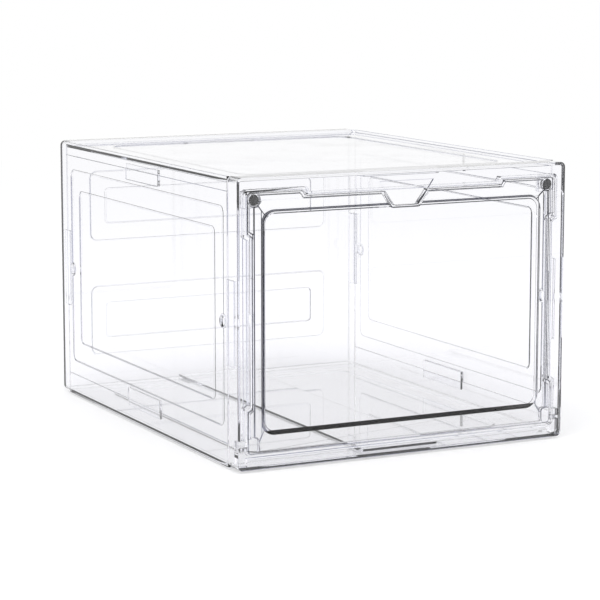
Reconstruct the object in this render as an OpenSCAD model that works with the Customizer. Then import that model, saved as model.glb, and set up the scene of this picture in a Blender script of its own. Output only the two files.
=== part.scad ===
// Clear stacking shoe box with a drop-down magnetic door.
// Origin: middle of the underside. +X right seen from the door, +Y to the back, +Z up.
// Six moulded panels snap together by tongues; the door turns on two moulded pins.

/* [Box] */
// Width across the front
box_w = 280; // [270:1:300]
// Depth from the door to the back
box_d = 355; // [340:1:370]
// Height of the walls, without the foot ring
box_h = 216; // [210:1:230]
// Height of the ring that locates the box on the one below
foot_h = 2; // [1.5:0.1:2.5]
// Thickness of the flat panels
wall = 2.2; // [2:0.1:2.4]
// Thickness of the outer walls of the front frame and the back panel
rim_wall = 2.4; // [2.3:0.1:2.6]
// Radius of the vertical-face corners of the box
corner_r = 4; // [3:0.5:5]

/* [Panel depths] */
// Depth of the front frame, front to back
frame_d = 17.5; // [17:0.5:20]
// Depth of the rim of the back panel
back_d = 14; // [12:0.5:16]
// Height of the side skirts of the bottom panel
bottom_skirt = 17.5; // [14:0.5:20]
// Height of the side skirts of the top panel
top_skirt = 11; // [9:0.5:12]

/* [Door] */
// Thickness of the door at its rim
door_t = 5.5; // [5.2:0.1:5.6]
// Thickness of the sheet that the door is moulded in
door_sheet = 2.2; // [1.8:0.1:2.4]
// Gap between the door and the frame
door_gap = 0.7; // [0.6:0.1:0.9]
// Width of the door at its corner ears
door_w = 262.6; // [260:0.1:263]
// How far the door's long edges stand back from its ears
ear_step = 3.6; // [3:0.1:4]
// Length of the ears along the top edge
ear_w = 47; // [40:1:50]
// Height of the lower ears
ear_low_h = 33.5; // [30:0.5:36]
// Height of the upper ears
ear_high_h = 31; // [28:0.5:34]
// Height of the door's top edge above the foot of the wall
door_top = 204.5; // [204:0.1:205]
// Width of the sloped border at the sides
border_x = 12.4; // [11:0.1:14]
// Radius of the corners of the clear middle field
field_r = 10; // [8:0.5:11]

/* [Hinge and magnets] */
// Height of the hinge line above the foot of the wall
pivot_h = 15.5; // [15.3:0.1:16]
// Radius of the hinge pins
pin_r = 2; // [1.8:0.1:2.1]
// Radial clearance of the pins in the frame
pin_clear = 0.06; // [0.04:0.01:0.08]
// Radius of the disc magnets
magnet_r = 4; // [3.5:0.1:4.2]
// Thickness of the disc magnets
magnet_t = 2.4; // [2:0.1:2.5]

/* [Tongues and connector holes] */
// Length of each snap tongue
tongue_l = 64; // [50:1:70]
// Thickness of each snap tongue
tongue_t = 1.9; // [1.6:0.1:2]
// Radius of the side connector holes
connector_r = 4.2; // [3.5:0.1:4.5]
// Radius of the collar round each connector hole
collar_r = 5.5; // [5.3:0.1:5.8]

/* [Hidden] */
$fn = 64;
corner_steps = 8;
clear_plastic = [0.90, 0.92, 0.96, 0.45];
door_plastic = [0.80, 0.84, 0.92, 0.45];
magnet_black = [0.10, 0.10, 0.11];

// Places of the walls
y_front = -box_d / 2;
y_back = box_d / 2;
y_frame_back = y_front + frame_d;
y_rim_front = y_back - back_d;
x_out = box_w / 2;
z_low = foot_h;
z_top = foot_h + box_h;
z_mid = foot_h + box_h / 2;

// Front frame
reveal_t = 1.8;
reveal_d = 8.2;
stop_x = 126.7;
stop_t = 1.8;
stop_low = 24;
boss_w = 12.4;
boss_drop = 11.5;
boss_t = 4.6;
bottom_gap = 1.2;

// Door, as heights above the origin
door_set_back = 0.5;
y_door = y_front + door_set_back;
y_door_back = y_door + door_t;
z_pivot = z_low + pivot_h;
y_pivot = y_door + door_t / 2;
z_door_low = z_pivot - 4.3;
z_door_high = z_low + door_top;
door_r = 3;
step_run = 1.2;
rim_w = 1.8;
border_low = 13.9;
border_high = 13.5;
border_drop = 2.3;
field_rise = 1.4;
field_ledge = 0.8;
y_field = y_door + border_drop - field_rise;
seat_gap = 0.4;
x_magnet = 125.5;
z_magnet = z_low + 199.2;
pocket_clear = 0.05;
pocket_wall = 1.1;
knuckle_w = 7;
knuckle_h = 12.6;
knuckle_r = 3;
pin_reach = 3.6;

// Finger notch: half width at the bottom, depth, and the lean of its sides from upright
notch_low = 8.5;
notch_depth = 11;
notch_r = 3;
notch_lean = 35;
// Sunken V in the frame above the notch
scoop_rise = 3.7;
scoop_drop = 1.0;

// Panel fields: the steps that stiffen the panels
field_step = 0.7;
side_field_out = 9.7;
side_field_out_z = 12.5;
side_field_in = 26.4;
side_field_in_z = 29.5;
side_r_out = 6;
side_r_in = 5;
x_back_out = 112;
x_back_in = 99;
back_out_near = 20.5;
back_out_far = 79.5;
back_in_near = 34.5;
back_in_far = 65.5;
back_r_out = 5.5;
back_r_in = 4;
floor_inset = 28;
floor_r = 14;
fuse = 1.0;

// Foot ring and the recess that takes it
ring_inset = 3.5;
ring_gap = 1.5;
ring_w = 3;
recess_gap = 0.3;

// Tongues
tongue_reach = 9;
tongue_root = 3.4;
tongue_root_long = 9;
tongue_lift = 0.4;
skirt_reach = 6;
top_reach = 3.7;
slip = 0.2;
collar_t = 0.8;
y_hole_front = y_frame_back + side_field_out;
y_hole_back = y_rim_front - side_field_out;

// ---------- outlines ----------

// Points on an arc about (cx, cy) from angle a0 to a1
function arc(cx, cy, r, a0, a1) = [
    for (i = [0:corner_steps])
    let (a = a0 + (a1 - a0) * i / corner_steps)
    [cx + r * cos(a), cy + r * sin(a)]
];

// Rectangle with rounded corners
function rounded(x0, x1, y0, y1, r) = concat(
    arc(x1 - r, y1 - r, r, 0, 90),
    arc(x0 + r, y1 - r, r, 90, 180),
    arc(x0 + r, y0 + r, r, 180, 270),
    arc(x1 - r, y0 + r, r, 270, 360)
);

// Right half of the door's outline, bottom to top, grown by g at the sides and gb at the bottom
function door_half(g, gb) =
    let (ear = door_w / 2 + g)
    let (mid = ear - ear_step)
    let (low = z_door_low - gb)
    let (high = z_door_high + g)
    let (low_step = z_door_low + ear_low_h + g)
    let (high_step = z_door_high - ear_high_h - g)
    let (ear_end = door_w / 2 - ear_w - g)
    concat(
        arc(ear - door_r, low + door_r, door_r, -90, 0),
        [
            [ear, low_step - step_run],
            [mid, low_step + step_run],
            [mid, high_step - step_run],
            [ear, high_step + step_run]
        ],
        arc(ear - door_r, high - door_r, door_r, 0, 90),
        [
            [ear_end + step_run, high],
            [ear_end - step_run, high - ear_step]
        ]
    );

// Whole outline of the door: the right half and its mirror image
function door_outline(g, gb) =
    let (half = door_half(g, gb))
    let (n = len(half) - 1)
    concat(half, [for (i = [n:-1:0]) [-half[i][0], half[i][1]]]);

// Clear middle field of the door, grown by g
function door_field(g) = rounded(
    -door_w / 2 + border_x - g, door_w / 2 - border_x + g,
    z_door_low + border_low - g, z_door_high - border_high + g, field_r + g
);

// Finger notch, widened by w on each side and ending rise above the top of the door's ears
function notch_outline(w, rise) =
    let (z_round = z_door_high - ear_step - notch_depth + notch_r)
    let (z_end = z_door_high + rise)
    let (half = notch_low + (notch_r + (z_end - z_round) * sin(notch_lean)) / cos(notch_lean))
    concat(
        [[half + w, z_end], [-half - w, z_end]],
        arc(-notch_low - w, z_round, notch_r, 180 + notch_lean, 270),
        arc(notch_low + w, z_round, notch_r, 270, 360 - notch_lean)
    );

// ---------- ways to place an outline ----------

// Outline in X and Z, from y0 backwards
module facing_front(y0, depth) {
    translate([0, y0 + depth, 0])
        rotate([90, 0, 0])
            linear_extrude(depth) children();
}

// Outline in Y and Z, from x0 to the right
module facing_side(x0, depth) {
    translate([x0, 0, 0])
        rotate([90, 0, 90])
            linear_extrude(depth) children();
}

// Block between two corners
module block(low, high) {
    translate(low) cube(high - low);
}

// The same thing on the left and the right
module both_sides() {
    children();
    mirror([1, 0, 0]) children();
}

// ---------- front frame ----------

module frame_walls() {
    // Outer wall, the full depth of the frame
    facing_front(y_front, frame_d) difference() {
        polygon(rounded(-x_out, x_out, z_low, z_top, corner_r));
        polygon(rounded(
            -x_out + rim_wall, x_out - rim_wall,
            z_low + rim_wall, z_top - rim_wall, corner_r - rim_wall
        ));
    }
    // Front face round the door opening
    facing_front(y_front, wall) difference() {
        polygon(rounded(-x_out, x_out, z_low, z_top, corner_r));
        polygon(door_outline(door_gap, bottom_gap));
    }
    // Reveal that lines the opening
    facing_front(y_front, reveal_d) difference() {
        polygon(door_outline(door_gap + reveal_t, bottom_gap + reveal_t));
        polygon(door_outline(door_gap, bottom_gap));
    }
}

// Upright stop behind one long edge of the door
module side_stop() {
    block(
        [stop_x, y_door_back + seat_gap, stop_low],
        [door_w / 2 + door_gap + fuse, y_door_back + seat_gap + stop_t, z_door_high]
    );
}

// Corner block that carries a frame magnet
module magnet_boss() {
    block(
        [door_w / 2 + door_gap - boss_w, y_door_back + seat_gap, z_door_high - boss_drop],
        [door_w / 2 + door_gap + fuse, y_door_back + seat_gap + boss_t, z_door_high + fuse]
    );
}

// Block beside the opening that a hinge pin turns in
module hinge_block() {
    block(
        [door_w / 2 + door_gap, y_front, z_low + fuse],
        [x_out - fuse, y_front + reveal_d, z_pivot + knuckle_h / 2]
    );
}

module front_frame() {
    color(clear_plastic) difference() {
        union() {
            frame_walls();
            both_sides() {
                side_stop();
                magnet_boss();
                hinge_block();
            }
        }
        // The finger notch carries on up the front face
        facing_front(y_front - fuse, scoop_drop + fuse) polygon(notch_outline(0, scoop_rise));
        both_sides() {
            // Pocket of the frame magnet
            translate([x_magnet, y_door_back + seat_gap - fuse, z_magnet])
                rotate([-90, 0, 0])
                    cylinder(r = magnet_r + pocket_clear, h = magnet_t + fuse + pocket_clear);
            // Bearing of the hinge pin
            translate([door_w / 2, y_pivot, z_pivot])
                rotate([0, 90, 0])
                    cylinder(r = pin_r + pin_clear, h = x_out - rim_wall - door_w / 2);
        }
    }
}

// ---------- panels ----------

// One block of the back panel: above the middle for side 1, below it for side -1
module back_block(side, x_half, near, far, r) {
    low = side > 0 ? z_mid + near : z_mid - far;
    high = side > 0 ? z_mid + far : z_mid - near;
    polygon(rounded(-x_half, x_half, low, high, r));
}

module back_panel() {
    color(clear_plastic) difference() {
        union() {
            facing_front(y_back - wall, wall)
                polygon(rounded(-x_out, x_out, z_low, z_top, corner_r));
            facing_front(y_rim_front, back_d) difference() {
                polygon(rounded(-x_out, x_out, z_low, z_top, corner_r));
                polygon(rounded(
                    -x_out + rim_wall, x_out - rim_wall,
                    z_low + rim_wall, z_top - rim_wall, corner_r - rim_wall
                ));
            }
            // Inner faces of the two pressed-in blocks
            for (side = [-1, 1])
                facing_front(y_back - wall - field_step, field_step + fuse)
                    back_block(
                        side, x_back_out + fuse,
                        back_out_near - fuse, back_out_far + fuse, back_r_out + fuse
                    );
        }
        for (side = [-1, 1]) {
            // Outer face: a sunken band round a middle that comes back out
            facing_front(y_back - field_step, field_step + fuse) difference() {
                back_block(side, x_back_out, back_out_near, back_out_far, back_r_out);
                back_block(side, x_back_in, back_in_near, back_in_far, back_r_in);
            }
            // Inner face of that middle
            facing_front(y_back - wall - field_step - fuse, field_step + fuse)
                back_block(
                    side, x_back_in - fuse,
                    back_in_near + fuse, back_in_far - fuse, back_r_in - fuse
                );
        }
    }
}

// Field of a side panel, inset from its edges
module side_field(inset_y, inset_z, r, grow) {
    polygon(rounded(
        y_frame_back + inset_y - grow, y_rim_front - inset_y + grow,
        z_low + bottom_skirt + inset_z - grow, z_top - top_skirt - inset_z + grow, r
    ));
}

// Right side panel; the left one is its mirror image
module side_panel() {
    x_in = x_out - wall;
    difference() {
        union() {
            // Border of the panel
            block([x_in, y_frame_back, z_low + bottom_skirt], [x_out, y_rim_front, z_top - top_skirt]);
            // Two nested fields, each one step further in
            facing_side(x_in - field_step, field_step + fuse)
                side_field(side_field_out, side_field_out_z, side_r_out, fuse);
            facing_side(x_in - 2 * field_step, 2 * field_step + fuse)
                side_field(side_field_in, side_field_in_z, side_r_in, fuse);
            // Collars of the connector holes
            for (y = [y_hole_front, y_hole_back])
                translate([x_in - collar_t, y, z_mid])
                    rotate([0, 90, 0])
                        cylinder(r = collar_r, h = wall + collar_t);
            side_tongues();
        }
        facing_side(x_out - field_step, field_step + fuse) difference() {
            side_field(side_field_out, side_field_out_z, side_r_out, 0);
            for (y = [y_hole_front, y_hole_back])
                translate([y, z_mid]) circle(r = collar_r);
        }
        facing_side(x_out - 2 * field_step, field_step + fuse)
            side_field(side_field_in, side_field_in_z, side_r_in, 0);
        for (y = [y_hole_front, y_hole_back])
            translate([x_in - collar_t - fuse, y, z_mid])
                rotate([0, 90, 0])
                    cylinder(r = connector_r, h = wall + collar_t + 2 * fuse);
    }
}

// Tongue of a side panel with its root, between two corners given as [y, z].
// The tongue stands off the panel; the root, between the last two corners, joins them.
module side_tongue(low, high, root_low, root_high) {
    x1 = x_out - rim_wall - slip;
    x0 = x1 - tongue_t;
    block([x0, low[0], low[1]], [x1, high[0], high[1]]);
    block([x0, root_low[0], root_low[1]], [x_out - wall + slip, root_high[0], root_high[1]]);
}

// Tongues of a side panel: front, back, bottom and top
module side_tongues() {
    half = tongue_l / 2;
    y_mid = (y_frame_back + y_rim_front) / 2;
    z_skirt_low = z_low + bottom_skirt;
    z_skirt_high = z_top - top_skirt;
    side_tongue(
        [y_frame_back - tongue_reach, z_mid - half], [y_frame_back + tongue_root, z_mid + half],
        [y_frame_back, z_mid - half], [y_frame_back + tongue_root, z_mid + half]
    );
    side_tongue(
        [y_rim_front - tongue_root, z_mid - half], [y_rim_front + tongue_reach, z_mid + half],
        [y_rim_front - tongue_root, z_mid - half], [y_rim_front, z_mid + half]
    );
    side_tongue(
        [y_mid - half, z_skirt_low - skirt_reach], [y_mid + half, z_skirt_low + tongue_root_long],
        [y_mid - half, z_skirt_low], [y_mid + half, z_skirt_low + tongue_root_long]
    );
    side_tongue(
        [y_mid - half, z_skirt_high - tongue_root_long], [y_mid + half, z_skirt_high + top_reach],
        [y_mid - half, z_skirt_high - tongue_root_long], [y_mid + half, z_skirt_high]
    );
}

module right_side_panel() {
    color(clear_plastic) side_panel();
}

module left_side_panel() {
    color(clear_plastic) mirror([1, 0, 0]) side_panel();
}

// Rounded field of the floor or the top, inset from the edges
module floor_field(inset, r, grow) {
    polygon(rounded(
        -x_out + inset - grow, x_out - inset + grow,
        y_frame_back + inset - grow, y_rim_front - inset + grow, r + grow
    ));
}

// Outline of the foot ring, inset by a
module foot_ring_outline(a) {
    polygon(rounded(
        -x_out + ring_inset + a, x_out - ring_inset - a,
        y_frame_back + ring_gap + a, y_rim_front - ring_gap - a, corner_r
    ));
}

module bottom_panel() {
    z_floor = z_low + rim_wall;
    color(clear_plastic) difference() {
        union() {
            block([-x_out, y_frame_back, z_low], [x_out, y_rim_front, z_floor]);
            // Raised field of the floor
            translate([0, 0, z_low + field_step])
                linear_extrude(rim_wall) floor_field(floor_inset, floor_r, fuse);
            both_sides()
                block([x_out - wall, y_frame_back, z_low], [x_out, y_rim_front, z_low + bottom_skirt]);
            // Foot ring
            linear_extrude(foot_h + fuse) difference() {
                foot_ring_outline(0);
                foot_ring_outline(ring_w);
            }
            end_tongues(z_floor + tongue_lift, z_floor - slip);
        }
        // Underside of the raised field
        translate([0, 0, z_low - fuse])
            linear_extrude(field_step + fuse) floor_field(floor_inset, floor_r, 0);
    }
}

module top_panel() {
    z_field = z_top - foot_h - recess_gap;
    z_plate = z_field - wall;
    color(clear_plastic) difference() {
        union() {
            block([-x_out + slip, y_frame_back, z_plate], [x_out - slip, y_rim_front, z_field]);
            both_sides()
                block([x_out - wall, y_frame_back, z_top - top_skirt], [x_out, y_rim_front, z_top]);
            // Underside of the sunken middle
            translate([0, 0, z_plate - field_step])
                linear_extrude(field_step + fuse) floor_field(floor_inset, floor_r, fuse);
            end_tongues(z_plate, z_plate);
        }
        translate([0, 0, z_field - field_step])
            linear_extrude(field_step + fuse) floor_field(floor_inset, floor_r, 0);
    }
}

// Tongues at the front and the back of the top or bottom panel, joined by a flat rib
module end_tongues(z0, z_root) {
    block(
        [-tongue_l / 2, y_frame_back - tongue_reach, z0],
        [tongue_l / 2, y_rim_front + tongue_reach, z0 + tongue_t]
    );
    block(
        [-tongue_l / 2, y_frame_back, z_root],
        [tongue_l / 2, y_rim_front, z0 + tongue_t]
    );
}

// ---------- door ----------

// Sloped hollow in the front of the door: its four faces meet in mitred corners.
// They start at depth drop, and run on inwards past the border by reach.
module door_dish(drop, reach) {
    x1 = door_w / 2 - ear_step - rim_w;
    z0 = z_door_low + rim_w;
    z1 = z_door_high - ear_step - rim_w;
    run_side = border_x - ear_step - rim_w;
    run_high = border_high - ear_step - rim_w;
    run_low = border_low - rim_w;
    y0 = y_door + drop;
    intersection() {
        linear_extrude(z_top) polygon([
            [-x1, y_door - fuse],
            [x1, y_door - fuse],
            [x1, y0],
            [x1 - run_side - reach, y0 + border_drop * (1 + reach / run_side)],
            [-x1 + run_side + reach, y0 + border_drop * (1 + reach / run_side)],
            [-x1, y0]
        ]);
        facing_side(-x_out, box_w) polygon([
            [y_door - fuse, z0],
            [y_door - fuse, z1],
            [y0, z1],
            [y0 + border_drop * (1 + reach / run_high), z1 - run_high - reach],
            [y0 + border_drop * (1 + reach / run_low), z0 + run_low + reach],
            [y0, z0]
        ]);
    }
}

// Clear field that rises from the hollow in two small steps
module raised_field() {
    facing_front(y_field + field_rise / 2, door_t) polygon(door_field(field_ledge / 2));
    facing_front(y_field, door_t) polygon(door_field(-field_ledge / 2));
}

// Boss of a door magnet and knuckle of a hinge pin, on the right
module door_corner_bosses() {
    translate([x_magnet, y_door, z_magnet])
        rotate([-90, 0, 0])
            cylinder(r = magnet_r + pocket_wall, h = door_t);
    facing_front(y_door, door_t)
        polygon(rounded(
            x_magnet - knuckle_w / 2, door_w / 2 - rim_w / 2,
            z_door_low + rim_w / 2, z_door_low + knuckle_h, knuckle_r
        ));
    translate([x_magnet, y_pivot, z_pivot])
        rotate([0, 90, 0])
            cylinder(r = pin_r, h = door_w / 2 + pin_reach - x_magnet);
}

// Lip round the finger notch that stiffens it
module notch_lip() {
    facing_front(y_door, door_t) intersection() {
        polygon(door_outline(0, 0));
        difference() {
            translate([0, -rim_w]) polygon(notch_outline(rim_w, rim_w));
            polygon(notch_outline(0, fuse));
        }
    }
}

module door() {
    // The mitres run on to the rounded corners of the field
    mitre_reach = field_r * (1 - sqrt(0.5));
    color(door_plastic) difference() {
        union() {
            difference() {
                facing_front(y_door, door_t) polygon(door_outline(0, 0));
                difference() {
                    door_dish(0, mitre_reach);
                    raised_field();
                }
                // Back of the sloped border and of the raised field, one sheet behind their fronts
                difference() {
                    facing_front(y_door + door_sheet, door_t) polygon(door_outline(-rim_w, -rim_w));
                    door_dish(door_sheet, 0);
                }
                facing_front(y_field + door_sheet, door_t) polygon(door_field(-door_sheet));
            }
            both_sides() door_corner_bosses();
            notch_lip();
        }
        facing_front(y_door - fuse, door_t + 2 * fuse) polygon(notch_outline(0, fuse));
        both_sides()
            translate([x_magnet, y_door_back - magnet_t - pocket_clear, z_magnet])
                rotate([-90, 0, 0])
                    cylinder(r = magnet_r + pocket_clear, h = magnet_t + fuse);
    }
}

// ---------- magnets ----------

// Disc magnet on the right, with its front face at y0
module magnet(y0) {
    color(magnet_black)
        translate([x_magnet, y0, z_magnet])
            rotate([-90, 0, 0])
                cylinder(r = magnet_r, h = magnet_t);
}

module door_magnet_right() {
    magnet(y_door_back - magnet_t);
}

module door_magnet_left() {
    mirror([1, 0, 0]) magnet(y_door_back - magnet_t);
}

module frame_magnet_right() {
    magnet(y_door_back + seat_gap);
}

module frame_magnet_left() {
    mirror([1, 0, 0]) magnet(y_door_back + seat_gap);
}

front_frame();
back_panel();
left_side_panel();
right_side_panel();
top_panel();
bottom_panel();
door();
door_magnet_left();
door_magnet_right();
frame_magnet_left();
frame_magnet_right();
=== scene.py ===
"""Clear stacking shoe box with a drop-down door: looks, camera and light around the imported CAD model."""
import math

import bmesh
import bpy
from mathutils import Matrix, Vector


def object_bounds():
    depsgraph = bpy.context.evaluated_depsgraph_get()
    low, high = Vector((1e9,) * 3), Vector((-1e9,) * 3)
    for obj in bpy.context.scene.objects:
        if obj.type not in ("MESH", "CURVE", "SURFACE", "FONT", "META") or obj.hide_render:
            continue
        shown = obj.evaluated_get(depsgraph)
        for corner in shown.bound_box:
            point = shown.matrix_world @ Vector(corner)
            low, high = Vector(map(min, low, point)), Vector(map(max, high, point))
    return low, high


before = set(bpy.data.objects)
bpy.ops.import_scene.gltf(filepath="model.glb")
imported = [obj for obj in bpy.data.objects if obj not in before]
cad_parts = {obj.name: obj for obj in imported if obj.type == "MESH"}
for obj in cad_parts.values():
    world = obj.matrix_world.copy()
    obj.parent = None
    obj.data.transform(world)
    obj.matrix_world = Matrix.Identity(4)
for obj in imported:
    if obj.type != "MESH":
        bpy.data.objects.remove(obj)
cad_low, cad_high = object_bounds()

MM = 0.001
CAMERA_PLACE = (-0.8387, -1.6675, 0.3868)
CAMERA_LENS = 138
AIM_DROP = 0.014  # how far below the middle of the box the camera looks

# Roundings of the edges, and the hair's gap at the joints
BODY_RADIUS = 0.2 * MM
FLOOR_PANEL_RADIUS = 0.1 * MM
DOOR_RADIUS = 0.35 * MM
DISC_RADIUS = 0.3 * MM
JOINT_GAP = 0.02 * MM
WELD_REACH = 0.05 * MM
FLAT_ANGLE = 0.3  # degrees under which neighbouring faces count as one
BODY_CREASE = 25  # degrees over which an edge is rounded
DOOR_CREASE = 17  # takes in the mitres and side slopes of the door's border

# Tints of the clear plastic: surface and depth; the rounded edges carry painted shade, grey on the body and
# near black on the door
CLEAR_IOR = 1.5
ABSORB = (0.92, 0.925, 0.955)
BODY_TINT, BODY_DENSITY = (0.982, 0.982, 0.995), 16
# Painted shade: a slightly greyer colour on the body's rounded edges, standing in for the faint lines
# refraction draws there
BODY_EDGE_PAINTED_SHADE = (0.96, 0.962, 0.975)
DOOR_TINT, DOOR_DENSITY = (0.99, 0.99, 0.997), 30
# Painted shade: near-black colour on the door's rounded edges, standing in for the dark lines refraction
# gives at its steps
DOOR_EDGE_PAINTED_SHADE = (0.03, 0.03, 0.035)
# Painted shade: the door's painted edge lines are made lighter near its foot
DOOR_FOOT_PAINTED_SHADE = (0.4, 0.4, 0.42)
FOOT_START, FOOT_END = 0.085, 0.16  # the painted edge shade turns lighter towards the door's foot between these shares of its height

FLOOR_HALF = 6  # metres from the middle of the floor to its edge
FADE_START, FADE_END = 0.3, 2.2  # metres from the box between which the floor turns white
CABINET = ["front_frame", "back_panel", "left_side_panel", "right_side_panel", "top_panel", "bottom_panel"]
DISCS = ["door_magnet_left", "door_magnet_right", "frame_magnet_left", "frame_magnet_right"]


# ---------- camera ----------

def make_camera():
    """Stands to the left of the box and a little above it, and looks at its middle."""
    middle = (cad_low + cad_high) / 2 - Vector((0, 0, AIM_DROP))
    place = Vector(CAMERA_PLACE)
    data = bpy.data.cameras.new("camera")
    data.sensor_width = 36
    data.lens = CAMERA_LENS
    data.clip_start = 0.05
    data.clip_end = 60
    cam = bpy.data.objects.new("camera", data)
    cam.location = place
    cam.rotation_euler = (middle - place).to_track_quat("-Z", "Y").to_euler()
    bpy.context.scene.collection.objects.link(cam)
    bpy.context.scene.camera = cam


# ---------- node helpers ----------

def new_material(name):
    """An empty node material, with its node tree and output."""
    mat = bpy.data.materials.new(name)
    mat.use_nodes = True
    tree = mat.node_tree
    tree.nodes.clear()
    return mat, tree, tree.nodes.new("ShaderNodeOutputMaterial")


def clear_plastic(name, tint, density, foot_painted_shade=None):
    """Polished clear moulding: faint flow waves, hazy patches and a tint that shows where it is thick.
    A lighter painted shade for the foot takes over in the lowest part of the piece."""
    mat, tree, out = new_material(name)
    nodes, link = tree.nodes, tree.links.new
    shader = nodes.new("ShaderNodeBsdfPrincipled")
    shader.inputs["Base Color"].default_value = (*tint, 1)
    shader.inputs["Transmission Weight"].default_value = 1.0
    shader.inputs["IOR"].default_value = CLEAR_IOR
    place = nodes.new("ShaderNodeTexCoord")

    flow = nodes.new("ShaderNodeTexNoise")
    flow.inputs["Scale"].default_value = 14
    flow.inputs["Detail"].default_value = 1.5
    link(place.outputs["Object"], flow.inputs["Vector"])
    bump = nodes.new("ShaderNodeBump")
    bump.inputs["Strength"].default_value = 0.015
    bump.inputs["Distance"].default_value = 0.002
    link(flow.outputs["Fac"], bump.inputs["Height"])
    link(bump.outputs["Normal"], shader.inputs["Normal"])

    haze = nodes.new("ShaderNodeTexNoise")
    haze.inputs["Scale"].default_value = 60
    haze.inputs["Detail"].default_value = 4
    link(place.outputs["Object"], haze.inputs["Vector"])
    rough = nodes.new("ShaderNodeMapRange")
    rough.inputs["From Min"].default_value = 0.35
    rough.inputs["From Max"].default_value = 0.75
    rough.inputs["To Min"].default_value = 0.005
    rough.inputs["To Max"].default_value = 0.03
    link(haze.outputs["Fac"], rough.inputs["Value"])
    link(rough.outputs["Result"], shader.inputs["Roughness"])

    # Painted shade: the edge colour blends by height into a lighter painted shade near the foot
    if foot_painted_shade:
        split = nodes.new("ShaderNodeSeparateXYZ")
        link(place.outputs["Generated"], split.inputs["Vector"])
        fade = nodes.new("ShaderNodeValToRGB")
        fade.color_ramp.elements[0].position = FOOT_START
        fade.color_ramp.elements[0].color = (*foot_painted_shade, 1)
        fade.color_ramp.elements[1].position = FOOT_END
        fade.color_ramp.elements[1].color = (*tint, 1)
        link(split.outputs["Z"], fade.inputs["Fac"])
        link(fade.outputs["Color"], shader.inputs["Base Color"])

    volume = nodes.new("ShaderNodeVolumeAbsorption")
    volume.inputs["Color"].default_value = (*ABSORB, 1)
    volume.inputs["Density"].default_value = density
    link(shader.outputs["BSDF"], out.inputs["Surface"])
    link(volume.outputs["Volume"], out.inputs["Volume"])
    return mat


def dark_magnet():
    """Black plated disc: blotched plating, and a fine grain that takes the shine off it."""
    mat, tree, out = new_material("magnet_black")
    nodes, link = tree.nodes, tree.links.new
    shader = nodes.new("ShaderNodeBsdfPrincipled")
    shader.inputs["Metallic"].default_value = 0.4
    place = nodes.new("ShaderNodeTexCoord")
    blotch = nodes.new("ShaderNodeTexNoise")
    blotch.inputs["Scale"].default_value = 420
    blotch.inputs["Detail"].default_value = 3
    link(place.outputs["Object"], blotch.inputs["Vector"])
    tone = nodes.new("ShaderNodeValToRGB")
    tone.color_ramp.elements[0].position = 0.42
    tone.color_ramp.elements[0].color = (0.004, 0.004, 0.005, 1)
    tone.color_ramp.elements[1].position = 0.6
    tone.color_ramp.elements[1].color = (0.06, 0.06, 0.066, 1)
    link(blotch.outputs["Fac"], tone.inputs["Fac"])
    link(tone.outputs["Color"], shader.inputs["Base Color"])
    rough = nodes.new("ShaderNodeMapRange")
    rough.inputs["To Min"].default_value = 0.2
    rough.inputs["To Max"].default_value = 0.5
    link(blotch.outputs["Fac"], rough.inputs["Value"])
    link(rough.outputs["Result"], shader.inputs["Roughness"])
    grain = nodes.new("ShaderNodeTexNoise")
    grain.inputs["Scale"].default_value = 2500
    link(place.outputs["Object"], grain.inputs["Vector"])
    bump = nodes.new("ShaderNodeBump")
    bump.inputs["Strength"].default_value = 0.15
    bump.inputs["Distance"].default_value = 0.0002
    link(grain.outputs["Fac"], bump.inputs["Height"])
    link(bump.outputs["Normal"], shader.inputs["Normal"])
    link(shader.outputs["BSDF"], out.inputs["Surface"])
    return mat


# ---------- the moulded pieces ----------

def dress(node, mat, radius, slip=JOINT_GAP, edge=None, crease=BODY_CREASE):
    """Rounds the edges of a CAD node sharper than crease degrees, leaves a hair's gap at its joints
    and gives it its material; an edge material, if given, paints shade on the rounded edges."""
    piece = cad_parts[node]
    piece.data.materials.clear()
    piece.data.materials.append(mat)
    if edge:
        piece.data.materials.append(edge)
    weld = piece.modifiers.new("weld", "WELD")
    weld.merge_threshold = WELD_REACH
    flat = piece.modifiers.new("flat_faces", "DECIMATE")
    flat.decimate_type = "DISSOLVE"
    flat.angle_limit = math.radians(FLAT_ANGLE)
    if slip:
        gap = piece.modifiers.new("joint_gap", "DISPLACE")
        gap.mid_level = 0
        gap.strength = -slip
    bevel = piece.modifiers.new("edge_radius", "BEVEL")
    bevel.width = radius
    bevel.segments = 2
    bevel.limit_method = "ANGLE"
    bevel.angle_limit = math.radians(crease)
    bevel.use_clamp_overlap = False
    # The rounded edges take the edge material, which paints shade on them
    bevel.material = 1 if edge else -1
    shade = piece.modifiers.new("shading", "WEIGHTED_NORMAL")
    shade.keep_sharp = True


# ---------- stage ----------

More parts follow.
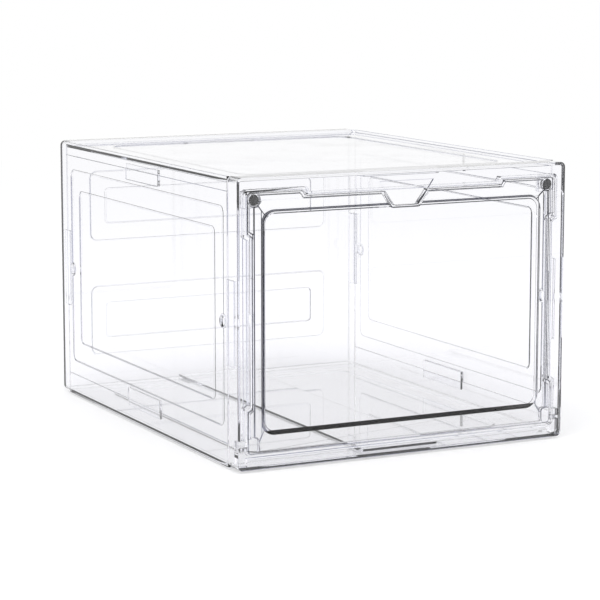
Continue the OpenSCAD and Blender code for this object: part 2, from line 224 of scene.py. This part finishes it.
def make_stage():
    """Pale floor that fades into white away from the box."""
    mat, tree, out = new_material("floor_pale")
    nodes, link = tree.nodes, tree.links.new
    shader = nodes.new("ShaderNodeBsdfPrincipled")
    shader.inputs["Base Color"].default_value = (0.55, 0.55, 0.555, 1)
    shader.inputs["Roughness"].default_value = 0.7
    shader.inputs["Specular IOR Level"].default_value = 0.1
    shader.inputs["Emission Color"].default_value = (1, 1, 1, 1)
    shader.inputs["Emission Strength"].default_value = 0.46
    # Away from the box the floor fades into the white of the surroundings
    far = nodes.new("ShaderNodeEmission")
    far.inputs["Strength"].default_value = 1.0
    place = nodes.new("ShaderNodeTexCoord")
    reach = nodes.new("ShaderNodeVectorMath")
    reach.operation = "LENGTH"
    link(place.outputs["Object"], reach.inputs[0])
    fade = nodes.new("ShaderNodeMapRange")
    fade.interpolation_type = "SMOOTHSTEP"
    fade.inputs["From Min"].default_value = FADE_START
    fade.inputs["From Max"].default_value = FADE_END
    link(reach.outputs["Value"], fade.inputs["Value"])
    mix = nodes.new("ShaderNodeMixShader")
    link(fade.outputs["Result"], mix.inputs["Fac"])
    link(shader.outputs["BSDF"], mix.inputs[1])
    link(far.outputs["Emission"], mix.inputs[2])
    link(mix.outputs["Shader"], out.inputs["Surface"])
    bm = bmesh.new()
    corners = [bm.verts.new((x * FLOOR_HALF, y * FLOOR_HALF, 0))
               for x, y in ((-1, -1), (1, -1), (1, 1), (-1, 1))]
    bm.faces.new(corners)
    mesh = bpy.data.meshes.new("floor")
    bm.to_mesh(mesh)
    bm.free()
    mesh.materials.append(mat)
    floor = bpy.data.objects.new("floor", mesh)
    bpy.context.scene.collection.objects.link(floor)


def make_world():
    """White all round the horizon, and a darker ceiling that the edges of the plastic pick up."""
    world = bpy.data.worlds.new("studio")
    bpy.context.scene.world = world
    world.use_nodes = True
    tree = world.node_tree
    nodes, link = tree.nodes, tree.links.new
    nodes.clear()
    out = nodes.new("ShaderNodeOutputWorld")
    sky = nodes.new("ShaderNodeBackground")
    place = nodes.new("ShaderNodeTexCoord")
    split = nodes.new("ShaderNodeSeparateXYZ")
    link(place.outputs["Generated"], split.inputs["Vector"])
    ramp = nodes.new("ShaderNodeValToRGB")
    ramp.color_ramp.elements[0].position = 0.35
    ramp.color_ramp.elements[0].color = (1, 1, 1, 1)
    ramp.color_ramp.elements[1].position = 0.6
    ramp.color_ramp.elements[1].color = (0.72, 0.72, 0.745, 1)
    link(split.outputs["Z"], ramp.inputs["Fac"])
    link(ramp.outputs["Color"], sky.inputs["Color"])
    sky.inputs["Strength"].default_value = 1.0
    link(sky.outputs["Background"], out.inputs["Surface"])


def area_light(name, place, aim, size, power):
    """Rectangular soft light at a place, turned to a point."""
    data = bpy.data.lights.new(name, "AREA")
    data.shape = "RECTANGLE"
    data.size, data.size_y = size
    data.energy = power
    lamp = bpy.data.objects.new(name, data)
    lamp.location = place
    lamp.rotation_euler = (Vector(aim) - Vector(place)).to_track_quat("-Z", "Y").to_euler()
    bpy.context.scene.collection.objects.link(lamp)


make_camera()
body_plastic = clear_plastic("clear_body", BODY_TINT, BODY_DENSITY)
door_plastic = clear_plastic("clear_door", DOOR_TINT, DOOR_DENSITY)
# Painted shade: greyer body edges, standing in for the lines refraction draws at them
body_painted_edge_shade = clear_plastic("clear_body_painted_edge_shade", BODY_EDGE_PAINTED_SHADE, BODY_DENSITY)
# Painted shade: near-black door edges, standing in for the dark lines refraction draws at them
door_painted_edge_shade = clear_plastic("clear_door_painted_edge_shade", DOOR_EDGE_PAINTED_SHADE, DOOR_DENSITY, foot_painted_shade=DOOR_FOOT_PAINTED_SHADE)
magnet_mat = dark_magnet()
for name in CABINET:
    dress(name, body_plastic, FLOOR_PANEL_RADIUS if name == "bottom_panel" else BODY_RADIUS, edge=body_painted_edge_shade)
dress("door", door_plastic, DOOR_RADIUS, edge=door_painted_edge_shade, crease=DOOR_CREASE)
for name in DISCS:
    dress(name, magnet_mat, DISC_RADIUS, slip=0)
make_stage()
make_world()
area_light("key", (-0.8, -1.0, 2.8), (0, 0, 0.1), (3, 3), 60)

scene = bpy.context.scene
scene.view_settings.view_transform = "Standard"
scene.cycles.max_bounces = 32
scene.cycles.transmission_bounces = 30
scene.cycles.transparent_max_bounces = 16
scene.cycles.diffuse_bounces = 3
scene.cycles.glossy_bounces = 8
